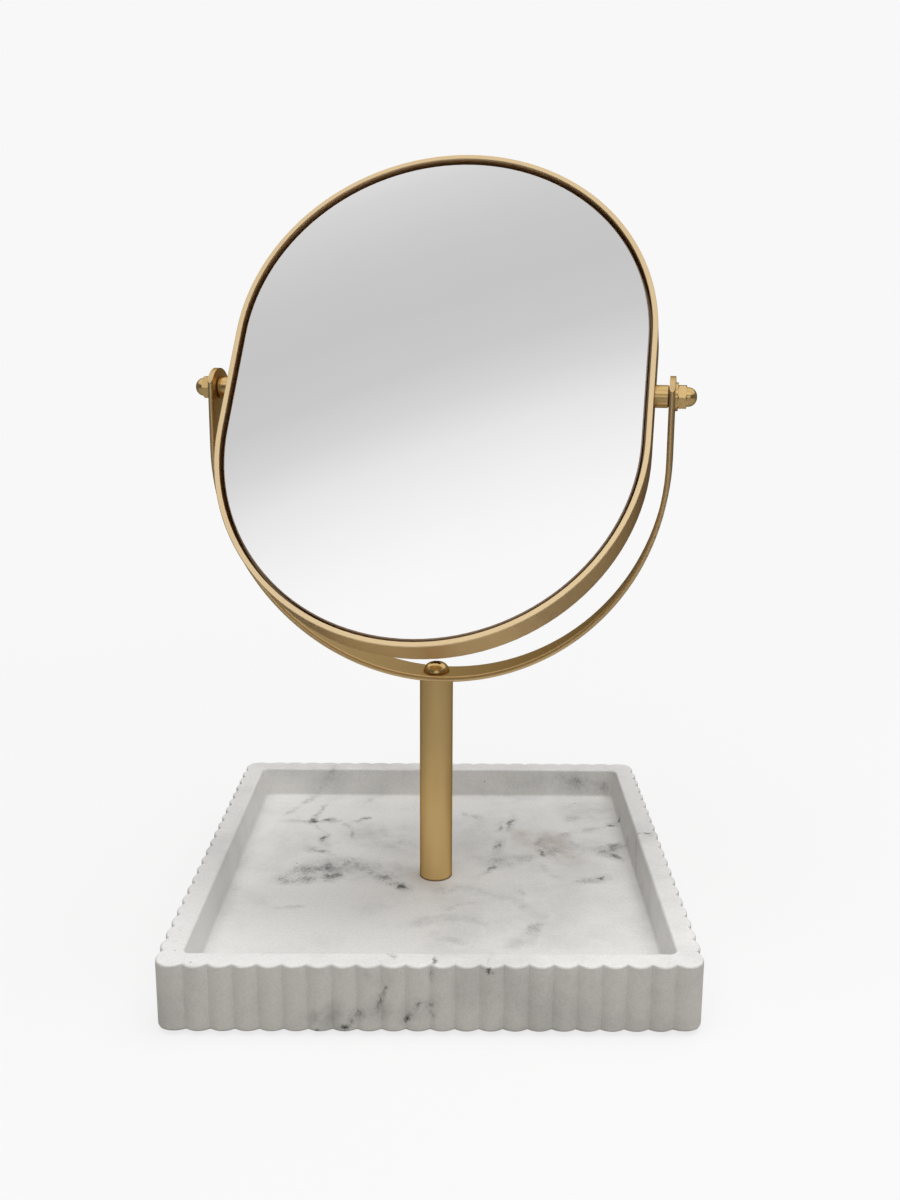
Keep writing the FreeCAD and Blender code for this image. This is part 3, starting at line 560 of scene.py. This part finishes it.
def tray_tree():
    """Lays a grid round the tray: its columns run round the plan, reed by reed, and its rows follow the section."""
    tree = bpy.data.node_groups.new("Reeded tray", "GeometryNodeTree")
    for name, kind in TRAY_INPUTS.items():
        tree.interface.new_socket(name, in_out="INPUT", socket_type=kind)
    tree.interface.new_socket("Tray", in_out="OUTPUT", socket_type="NodeSocketGeometry")
    node = partial(add, tree)
    size = node("NodeGroupInput").outputs

    # Plan of the reeds: half the side at the valleys, and the reach of a crest.
    half_pitch = node(MATH, [size["Pitch"], 0.5], operation="MULTIPLY")
    half = node(MATH, [size["Reeds"], half_pitch], operation="MULTIPLY")
    reed_square = node(MATH, [size["Reed radius"], size["Reed radius"]], operation="MULTIPLY")
    half_square = node(MATH, [half_pitch, half_pitch], operation="MULTIPLY")
    reed_sunk = node(MATH, [node(MATH, [reed_square, half_square], operation="SUBTRACT")], operation="SQRT")
    reed_rise = node(MATH, [size["Reed radius"], reed_sunk], operation="SUBTRACT")
    crest = node(MATH, [half, reed_rise], operation="ADD")
    well = node(MATH, [crest, size["Rim width"]], operation="SUBTRACT")
    well_foot = node(MATH, [well, size["Well draft"]], operation="SUBTRACT")
    recess = node(MATH, [size["Base height"], size["Counterbore depth"]], operation="ADD")

    section = section_outline(node, [
        (size["Hole radius"], size["Floor height"], 0.0, ROUND),
        (size["Hole radius"], recess, 0.0, ROUND),
        (size["Counterbore radius"], recess, 0.0, ROUND),
        (size["Counterbore radius"], size["Base height"], 0.0, ROUND),
        (crest, size["Base height"], size["Base round"], REEDED),
        (crest, size["Top height"], size["Top round"], REEDED),
        (well, size["Top height"], size["Rim round"], SQUARE),
        (well_foot, size["Floor height"], size["Floor round"], SQUARE),
    ])
    rows = node("GeometryNodeAttributeDomainSize", [section], component="CURVE").outputs["Point Count"]

    # The grid, and each of its points' column and row.
    per_side = node(WHOLE, [size["Reeds"], size["Steps"]], operation="MULTIPLY")
    columns = node(WHOLE, [per_side, SIDES, 1], operation="MULTIPLY_ADD")
    high = node(WHOLE, [rows, 1], operation="ADD")
    grid = node("GeometryNodeMeshGrid", {"Size X": 1.0, "Size Y": 1.0, "Vertices X": columns, "Vertices Y": high})
    index = node("GeometryNodeInputIndex")
    column = node(WHOLE, [index, high], operation="DIVIDE_FLOOR")
    row = node(WHOLE, [node(WHOLE, [index, high], operation="MODULO"), rows], operation="MODULO")
    side = node(WHOLE, [column, per_side], operation="DIVIDE_FLOOR")
    along = node(WHOLE, [column, per_side], operation="MODULO")
    reed = node(WHOLE, [along, size["Steps"]], operation="DIVIDE_FLOOR")
    step = node(WHOLE, [along, size["Steps"]], operation="MODULO")

    # The section's point for this row.
    place = node("GeometryNodeInputPosition")
    plan = node("GeometryNodeInputNamedAttribute", {"Name": "plan"}, data_type="FLOAT")
    sampled = {"Geometry": section, "Index": row}
    spot = node("GeometryNodeSampleIndex", {**sampled, "Value": place}, data_type="FLOAT_VECTOR", domain="POINT")
    kind = node("GeometryNodeSampleIndex", {**sampled, "Value": plan}, data_type="FLOAT", domain="POINT")
    spot = node("ShaderNodeSeparateXYZ", [spot])
    reach, height = spot.outputs["X"], spot.outputs["Z"]

    # The reed's arc. The first and last reed of a side share one larger lobe with the next side, round the corner.
    last = node(WHOLE, [size["Reeds"], 1], operation="SUBTRACT")
    from_end = node(WHOLE, [reed, node(WHOLE, [last, reed], operation="SUBTRACT")], operation="MINIMUM")
    at_corner = node(MATH, [from_end, 0.5], operation="LESS_THAN")
    lobe = node(MATH, [size["Pitch"], math.sqrt(0.5)], operation="MULTIPLY")
    radius = node(MIX, [at_corner, size["Reed radius"], lobe], data_type="FLOAT")
    radius_square = node(MATH, [radius, radius], operation="MULTIPLY")
    sunk = node(MATH, [node(MATH, [radius_square, half_square], operation="SUBTRACT")], operation="SQRT")
    spread = node(MATH, [node(MATH, [half_pitch, radius], operation="DIVIDE")], operation="ARCSINE")
    share = node(MATH, [node(MATH, [step, size["Steps"]], operation="DIVIDE"), 2.0, -1.0], operation="MULTIPLY_ADD")
    turn = node(MATH, [share, spread], operation="MULTIPLY")
    lift = node(MATH, [radius, node(MATH, [turn], operation="COSINE")], operation="MULTIPLY")
    rise = node(MATH, [lift, sunk], operation="SUBTRACT")
    paced = node(MATH, [node(MATH, [reed, 0.5], operation="ADD"), size["Pitch"]], operation="MULTIPLY")
    middle = node(MATH, [paced, half], operation="SUBTRACT")
    across = node(MATH, [radius, node(MATH, [turn], operation="SINE"), middle], operation="MULTIPLY_ADD")
    across_size = node(MATH, [across], operation="ABSOLUTE")

    # Paint softens each valley, but not the corner, where the lobe runs on.
    short_of = node(MATH, [half, across_size], operation="SUBTRACT")
    to_corner = node(MATH, [short_of, half_pitch], operation="DIVIDE", use_clamp=True)
    soft = node(MATH, [size["Valley softness"], to_corner], operation="MULTIPLY")
    soft_square = node(MATH, [soft, soft], operation="MULTIPLY")
    filled = node(MATH, [node(MATH, [rise, rise, soft_square], operation="MULTIPLY_ADD")], operation="SQRT")

    # Rounds bite more into the crests than into the valleys.
    inset = node(MATH, [crest, reach], operation="SUBTRACT")
    stands = node(MATH, [filled, reed_rise], operation="DIVIDE")
    bite = node(MATH, [stands, 1 - VALLEY_SHARE, VALLEY_SHARE], operation="MULTIPLY_ADD")
    inset = node(MATH, [inset, bite], operation="MULTIPLY")
    shrink = node(MATH, [node(MATH, [half, inset], operation="SUBTRACT"), half], operation="DIVIDE")
    reed_x = node(MATH, [across, shrink], operation="MULTIPLY")
    reed_y = node(MATH, [inset, node(MATH, [half, filled], operation="ADD")], operation="SUBTRACT")
    reeded = node(JOIN, [reed_x, reed_y, height])

    # The well's plan: a square with round corners, walked at the same share of its side. Its walls lean.
    wall = node(RANGE, [height, size["Floor height"], size["Top height"], well_foot, well])
    corner = node(MATH, [node(MATH, [reach, wall], operation="SUBTRACT"), size["Well corner"]], operation="ADD")
    corner = node(MATH, [corner, LEAST_CORNER], operation="MAXIMUM")
    straight = node(MATH, [reach, corner], operation="SUBTRACT")
    walk = node(MATH, [corner, math.pi / 4, straight], operation="MULTIPLY_ADD")
    walked = node(MATH, [node(MATH, [across_size, half], operation="DIVIDE"), walk], operation="MULTIPLY")
    past = node(MATH, [node(MATH, [walked, straight], operation="SUBTRACT"), 0.0], operation="MAXIMUM")
    bend = node(MATH, [past, corner], operation="DIVIDE")
    level = node(MATH, [walked, straight], operation="MINIMUM")
    square_x = node(MATH, [corner, node(MATH, [bend], operation="SINE"), level], operation="MULTIPLY_ADD")
    square_x = node(MATH, [square_x, node(MATH, [across], operation="SIGN")], operation="MULTIPLY")
    square_y = node(MATH, [corner, node(MATH, [bend], operation="COSINE"), straight], operation="MULTIPLY_ADD")
    square = node(JOIN, [square_x, node(MATH, [square_y, -1.0], operation="MULTIPLY"), height])

    # The hole and its counterbore: a quarter circle for each side.
    swing = node(MATH, [node(MATH, [across, half], operation="DIVIDE"), math.pi / 4], operation="MULTIPLY")
    round_x = node(MATH, [reach, node(MATH, [swing], operation="SINE")], operation="MULTIPLY")
    round_y = node(MATH, [reach, node(MATH, [swing], operation="COSINE")], operation="MULTIPLY")
    hole = node(JOIN, [round_x, node(MATH, [round_y, -1.0], operation="MULTIPLY"), height])

    is_reeded = node(MATH, [kind, float(REEDED), 0.5], operation="COMPARE")
    is_square = node(MATH, [kind, float(SQUARE), 0.5], operation="COMPARE")
    shape = node(MIX, [is_reeded, hole, reeded], data_type="VECTOR")
    shape = node(MIX, [is_square, shape, square], data_type="VECTOR")
    quarter = node(MATH, [side, math.pi / 2], operation="MULTIPLY")
    turned = node("ShaderNodeVectorRotate", {"Vector": shape, "Angle": quarter}, rotation_type="Z_AXIS")
    laid = node("GeometryNodeSetPosition", {"Geometry": grid, "Position": turned})
    closed = node("GeometryNodeMergeByDistance", {"Geometry": laid, "Distance": WELD})
    smooth = node("GeometryNodeSetShadeSmooth", {"Geometry": closed, "Shade Smooth": True}, domain="FACE")
    angle = node("GeometryNodeInputMeshEdgeAngle").outputs["Unsigned Angle"]
    hard = node(MATH, [angle, SHARP], operation="GREATER_THAN")
    inputs = {"Geometry": smooth, "Selection": hard, "Shade Smooth": False}
    edged = node("GeometryNodeSetShadeSmooth", inputs, domain="EDGE")
    real = node("GeometryNodeRealizeInstances", [edged])
    painted = node("GeometryNodeSetMaterial", {"Geometry": real, "Material": size["Stone"]})
    node("NodeGroupOutput", [painted])
    return tree


def grown(name, tree, values):
    """Grows a tree's shape on an empty mesh and returns it as a plain, closed mesh object at the origin."""
    seed = bpy.data.objects.new(name + "_seed", bpy.data.meshes.new(name + "_seed"))
    bpy.context.scene.collection.objects.link(seed)
    modifier = seed.modifiers.new("Shape", "NODES")
    modifier.node_group = tree
    for socket in tree.interface.items_tree:
        if socket.in_out == "INPUT":
            modifier[socket.identifier] = values[socket.name]
    depsgraph = bpy.context.evaluated_depsgraph_get()
    mesh = bpy.data.meshes.new_from_object(seed.evaluated_get(depsgraph), depsgraph=depsgraph)
    seed.modifiers.remove(modifier)
    bpy.data.objects.remove(seed)
    mesh.name = name
    shell = bmesh.new()
    shell.from_mesh(mesh)
    bmesh.ops.recalc_face_normals(shell, faces=shell.faces)
    if any(not edge.is_manifold for edge in shell.edges):
        raise RuntimeError(name + " isn't closed")
    shell.to_mesh(mesh)
    shell.free()
    piece = bpy.data.objects.new(name, mesh)
    bpy.context.scene.collection.objects.link(piece)
    return piece


# ---- operators

# How bright the panel overhead is, from in front of the table to behind it.
PANEL = (
    (0.0, 0.99), (0.05, 0.99), (0.10, 0.958), (0.15, 0.905), (0.20, 0.83), (0.25, 0.705), (0.30, 0.62),
    (0.367, 0.59), (0.42, 0.60), (0.46, 0.63), (0.51, 0.69), (0.58, 0.86), (1.0, 0.90),
)
FLOOR_RADIUS, FLOOR_SIDES = 4.0, 96
# The camera fitted to the photograph: where it stands (mm), its turns in degrees, its film, lens and shift.
EYE = (8.8854, -436.1166, 228.8582)
EYE_TURNS = ((-0.7728, "Z"), (77.7535, "X"), (0.5636, "Z"))
FILM_WIDTH, FOCAL_LENGTH = 36.0, 35.518
SHIFT = (-0.021594, -0.01906)


class TABLEMIRROR_OT_stage(bpy.types.Operator):
    """Makes the floor, the room's light, the softboxes and the camera"""

    bl_idname = "table_mirror.stage"
    bl_label = "Set the stage"

    def execute(self, context):
        stage = context.scene.table_mirror_stage
        context.scene.view_settings.view_transform = "Standard"
        self.room(context.scene, stage)
        self.floor(context.scene, stage)
        self.softboxes(context.scene, stage)
        self.camera(context.scene)
        return {"FINISHED"}

    def room(self, scene, stage):
        """The backdrop as it is seen, and the light that the room scatters."""
        world = bpy.data.worlds.new("Studio")
        scene.world = world
        node = emptied(world)
        towards = node(COORDINATES).outputs["Generated"]
        way = node("ShaderNodeSeparateXYZ", [towards])
        # What metal and glass show. Above: a panel, bright in front of the table and greyer over it.
        front = node(RANGE, [way.outputs["Y"], -0.6, 0.0])
        panel = node(RAMP, [front])
        stops = panel.color_ramp.elements
        while len(stops) < len(PANEL):
            stops.new(0.5)
        for stop, (at, level) in zip(stops, PANEL):
            stop.position, stop.color = at, (level, level, level, 1.0)
        # Level with the table: a dim room, the backdrop behind and a white screen in front.
        dim = node(RANGE, [way.outputs["Y"], -1.0, 0.9, 0.09, 0.26])
        behind = node(VECTOR, [towards, (0.0, 1.0, 0.0)], operation="DOT_PRODUCT").outputs["Value"]
        paper = node(RANGE, [behind, 0.985, 0.995], interpolation_type="SMOOTHSTEP")
        ahead = node(VECTOR, [towards, (0.0, -1.0, 0.0)], operation="DOT_PRODUCT").outputs["Value"]
        screen = node(RANGE, [ahead, 0.913, 0.961], interpolation_type="SMOOTHSTEP")
        white = node(MATH, [paper, screen], operation="MAXIMUM")
        level = node(MIX, [white, dim, 0.94], data_type="FLOAT")
        high = node(RANGE, [way.outputs["Z"], 0.38, 0.55], interpolation_type="SMOOTHSTEP")
        room = node(MIX, [high, level, panel], data_type="RGBA")
        rays = node("ShaderNodeLightPath").outputs
        shown = node(MIX, [rays["Is Glossy Ray"], stage.backdrop, room], data_type="RGBA")
        backdrop = node("ShaderNodeBackground", [shown, 1.0])
        # What falls on the table: soft light, most of it from above.
        overhead = node(RANGE, [way.outputs["Z"], -0.1, 0.9, 0.6, 1.2])
        strength = node(MATH, [overhead, stage.room_light], operation="MULTIPLY")
        scattered = node("ShaderNodeBackground", [linear("#FFFFFF"), strength])
        straight = node(MATH, [rays["Is Camera Ray"], rays["Is Transmission Ray"]], operation="MAXIMUM")
        seen = node(MATH, [straight, rays["Is Glossy Ray"]], operation="MAXIMUM")
        node("ShaderNodeOutputWorld", [node("ShaderNodeMixShader", [seen, scattered, backdrop])])

    def floor(self, scene, stage):
        """A wide round floor; close to the tray it keeps a soft shadow, further out it runs into the backdrop."""
        mesh = bpy.data.meshes.new("floor")
        disc = bmesh.new()
        bmesh.ops.create_circle(disc, cap_ends=True, segments=FLOOR_SIDES, radius=FLOOR_RADIUS)
        bmesh.ops.recalc_face_normals(disc, faces=disc.faces)
        disc.to_mesh(mesh)
        disc.free()
        floor = bpy.data.objects.new("floor", mesh)
        scene.collection.objects.link(floor)
        material = bpy.data.materials.new("Backdrop paper, matt white")
        node = emptied(material)
        place = node(COORDINATES).outputs["Object"]
        distance = node(VECTOR, [place], operation="LENGTH").outputs["Value"]
        keep = node(RANGE, [distance, 0.14, 0.55, 0.17, 0.0], interpolation_type="SMOOTHSTEP")
        paper = node("ShaderNodeBsdfDiffuse", [stage.backdrop])
        white = node("ShaderNodeEmission", [stage.backdrop, 1.0])
        shadowed = node("ShaderNodeMixShader", [keep, white, paper])
        # The paper scatters a warm light on to the tray. Metal and glass show it as a plain grey.
        rays = node("ShaderNodeLightPath").outputs
        tone = node(MIX, [rays["Is Glossy Ray"], linear("#A69F93"), linear("#A2A2A2")], data_type="RGBA")
        lit = node("ShaderNodeBsdfDiffuse", [tone])
        straight = node(MATH, [rays["Is Camera Ray"], rays["Is Transmission Ray"]], operation="MAXIMUM")
        node(SURFACE, [node("ShaderNodeMixShader", [straight, lit, shadowed])])
        mesh.materials.append(material)

    def softboxes(self, scene, stage):
        """A wide softbox overhead and a weaker one on the right; the room stands for both in reflections."""
        for name, where, target, width, height, power in (
            ("overhead", (0.08, -0.12, 1.28), (0.0, 0.0, 0.05), 2.1, 1.1, stage.key_power),
            ("right", (0.7, -0.75, 0.45), (0.0, 0.0, 0.03), 0.4, 0.4, stage.side_power),
        ):
            lamp = bpy.data.lights.new(name, "AREA")
            lamp.shape, lamp.size, lamp.size_y, lamp.energy = "RECTANGLE", width, height, power
            box = bpy.data.objects.new(name, lamp)
            box.location = where
            box.rotation_euler = (Vector(where) - Vector(target)).to_track_quat("Z", "Y").to_euler()
            box.visible_glossy = False
            box.visible_camera = False
            scene.collection.objects.link(box)

    def camera(self, scene):
        """The camera of the photograph: 436 mm in front, 229 mm up, looking 12 degrees down."""
        lens = bpy.data.cameras.new("camera")
        lens.sensor_width, lens.lens = FILM_WIDTH, FOCAL_LENGTH
        lens.shift_x, lens.shift_y = SHIFT
        lens.clip_start, lens.clip_end = 0.01, 50.0
        eye = bpy.data.objects.new("camera", lens)
        pose = Matrix.Translation(MM * Vector(EYE))
        for angle, axis in EYE_TURNS:
            pose = pose @ Matrix.Rotation(math.radians(angle), 4, axis)
        eye.matrix_world = pose
        scene.collection.objects.link(eye)
        scene.camera = eye


class TABLEMIRROR_OT_tray(bpy.types.Operator):
    """Grows the reeded stone tray in place of its plain solid"""

    bl_idname = "table_mirror.tray"
    bl_label = "Grow the reeded tray"

    def execute(self, context):
        size = context.scene.table_mirror_tray
        values = {name: getattr(size, name.lower().replace(" ", "_"), None) for name in TRAY_INPUTS}
        values.update({
            "Base height": tray_low.z,
            "Top height": tray_high.z,
            "Floor height": post_low.z,
            "Stone": cast_stone(context.scene.table_mirror_finish),
        })
        tray = grown("reeded_tray", tray_tree(), values)
        # Flat faces stay flat right up to their rounded edges.
        even = tray.modifiers.new("Even faces", "WEIGHTED_NORMAL")
        even.keep_sharp, even.weight = True, 100
        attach(tray, "base")
        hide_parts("tray")
        return {"FINISHED"}


class TABLEMIRROR_OT_brass(bpy.types.Operator):
    """Finishes the post, yoke, frame, back pan and pivots in satin brass"""

    bl_idname = "table_mirror.brass"
    bl_label = "Finish the brass"

    def execute(self, context):
        colours = context.scene.table_mirror_finish
        # Painted shade darkens the tube just above its foot.
        tube = satin_brass("Steel tube, satin brass plated", colours.deep_brass, 0.34, 0.42, foot=post_low.z)
        finish(tube, "post_tube")
        finish(satin_brass("Steel bar, satin brass plated", colours.dull_brass, 0.33, 0.41), "yoke")
        finish(satin_brass("Steel ring, satin brass plated", colours.brass, 0.33, 0.41), "mirror_frame")
        # Its inside faces carry a flat painted shade.
        finish(satin_brass("Steel sheet, satin brass plated", colours.brass, 0.33, 0.41, inside=True), "back_pan")
        finish(turned_brass(colours, "Brass, turned, screw", (0.0, 0.0, 1.0)), "yoke_screw")
        pivots = turned_brass(colours, "Brass, turned, pivots", PIVOT_AXIS)
        for side in ("left", "right"):
            finish(pivots, "pivot_stud_" + side, "pivot_washer_" + side, "cap_nut_" + side)
        return {"FINISHED"}


class TABLEMIRROR_OT_glass(bpy.types.Operator):
    """Finishes the mirror glass and what lies behind it"""

    bl_idname = "table_mirror.glass"
    bl_label = "Finish the glass"

    def execute(self, context):
        colours = context.scene.table_mirror_finish
        finish(silvered_glass(colours), "mirror_glass")
        # Acrylic tape: cast and cut. Its glue dries in a grain of about 0.8 mm and a dull white.
        finish(grained("Acrylic tape, cut", colours.tape, 0.80, 0.8, 0.6, 0.8, 0.05, ior=1.49), "glass_tape")
        # Fibreboard: pressed wood fibre, sawn. Fibres of about 1.5 mm give a mottled, matt brown.
        finish(grained("Fibreboard, sawn", colours.board, 0.70, 1.5, 0.7, 0.85, 0.10), "backing_board")
        return {"FINISHED"}


class TABLEMIRROR_OT_fixings(bpy.types.Operator):
    """Finishes the washers, the hidden steel and the foot pads"""

    bl_idname = "table_mirror.fixings"
    bl_label = "Finish the fixings"

    def execute(self, context):
        colours = context.scene.table_mirror_finish
        # Zinc plated steel: bright passivated. A spangle of about 2 mm breaks up soft reflections.
        zinc = grained("Steel, zinc plated", colours.zinc, 0.85, 2.0, 0.25, 0.38, 0.02, metallic=1.0)
        finish(zinc, "post_bottom_insert", "post_top_insert", "post_screw", "post_washer", "post_spring_washer")
        # Nylon: moulded, black-brown. A spark-eroded mould leaves a grain of 0.3 mm and a dull sheen.
        nylon = grained("Nylon, moulded", colours.nylon, 0.80, 0.3, 0.42, 0.55, 0.03, ior=1.53)
        finish(nylon, "friction_washer_left", "friction_washer_right")
        # Rubber: moulded and cut. Its skin has a grain of about 0.6 mm and no gloss.
        rubber = grained("Rubber, moulded", colours.rubber, 0.86, 0.6, 0.65, 0.8, 0.06, ior=1.52)
        finish(rubber, *("foot_pad_" + end + "_" + side for end in ("front", "rear") for side in ("left", "right")))
        return {"FINISHED"}


class TABLEMIRROR_PT_sidebar(bpy.types.Panel):
    """Lists the sizes, the colours and the steps"""

    bl_idname = "TABLEMIRROR_PT_sidebar"
    bl_label = "Table Mirror"
    bl_space_type = "VIEW_3D"
    bl_region_type = "UI"
    bl_category = "Table Mirror"

    def draw(self, context):
        for settings, operators in (
            (context.scene.table_mirror_stage, (TABLEMIRROR_OT_stage,)),
            (context.scene.table_mirror_tray, (TABLEMIRROR_OT_tray,)),
            (context.scene.table_mirror_finish, (TABLEMIRROR_OT_brass, TABLEMIRROR_OT_glass, TABLEMIRROR_OT_fixings)),
        ):
            box = self.layout.box()
            for name in settings.__annotations__:
                box.prop(settings, name)
            for operator in operators:
                box.operator(operator.bl_idname)


SETTINGS = {"table_mirror_tray": TraySizes, "table_mirror_finish": FinishColours, "table_mirror_stage": StageSettings}
STEPS = (
    TABLEMIRROR_OT_stage, TABLEMIRROR_OT_tray, TABLEMIRROR_OT_brass, TABLEMIRROR_OT_glass, TABLEMIRROR_OT_fixings,
)


def register():
    for kind in (*SETTINGS.values(), *STEPS, TABLEMIRROR_PT_sidebar):
        bpy.utils.register_class(kind)
    for name, group in SETTINGS.items():
        setattr(bpy.types.Scene, name, PointerProperty(type=group))


def unregister():
    for name in SETTINGS:
        delattr(bpy.types.Scene, name)
    for kind in (TABLEMIRROR_PT_sidebar, *reversed(STEPS), *SETTINGS.values()):
        bpy.utils.unregister_class(kind)


def main():
    register()
    bpy.ops.table_mirror.stage()
    bpy.ops.table_mirror.tray()
    bpy.ops.table_mirror.brass()
    bpy.ops.table_mirror.glass()
    bpy.ops.table_mirror.fixings()


if __name__ == "__main__":
    main()
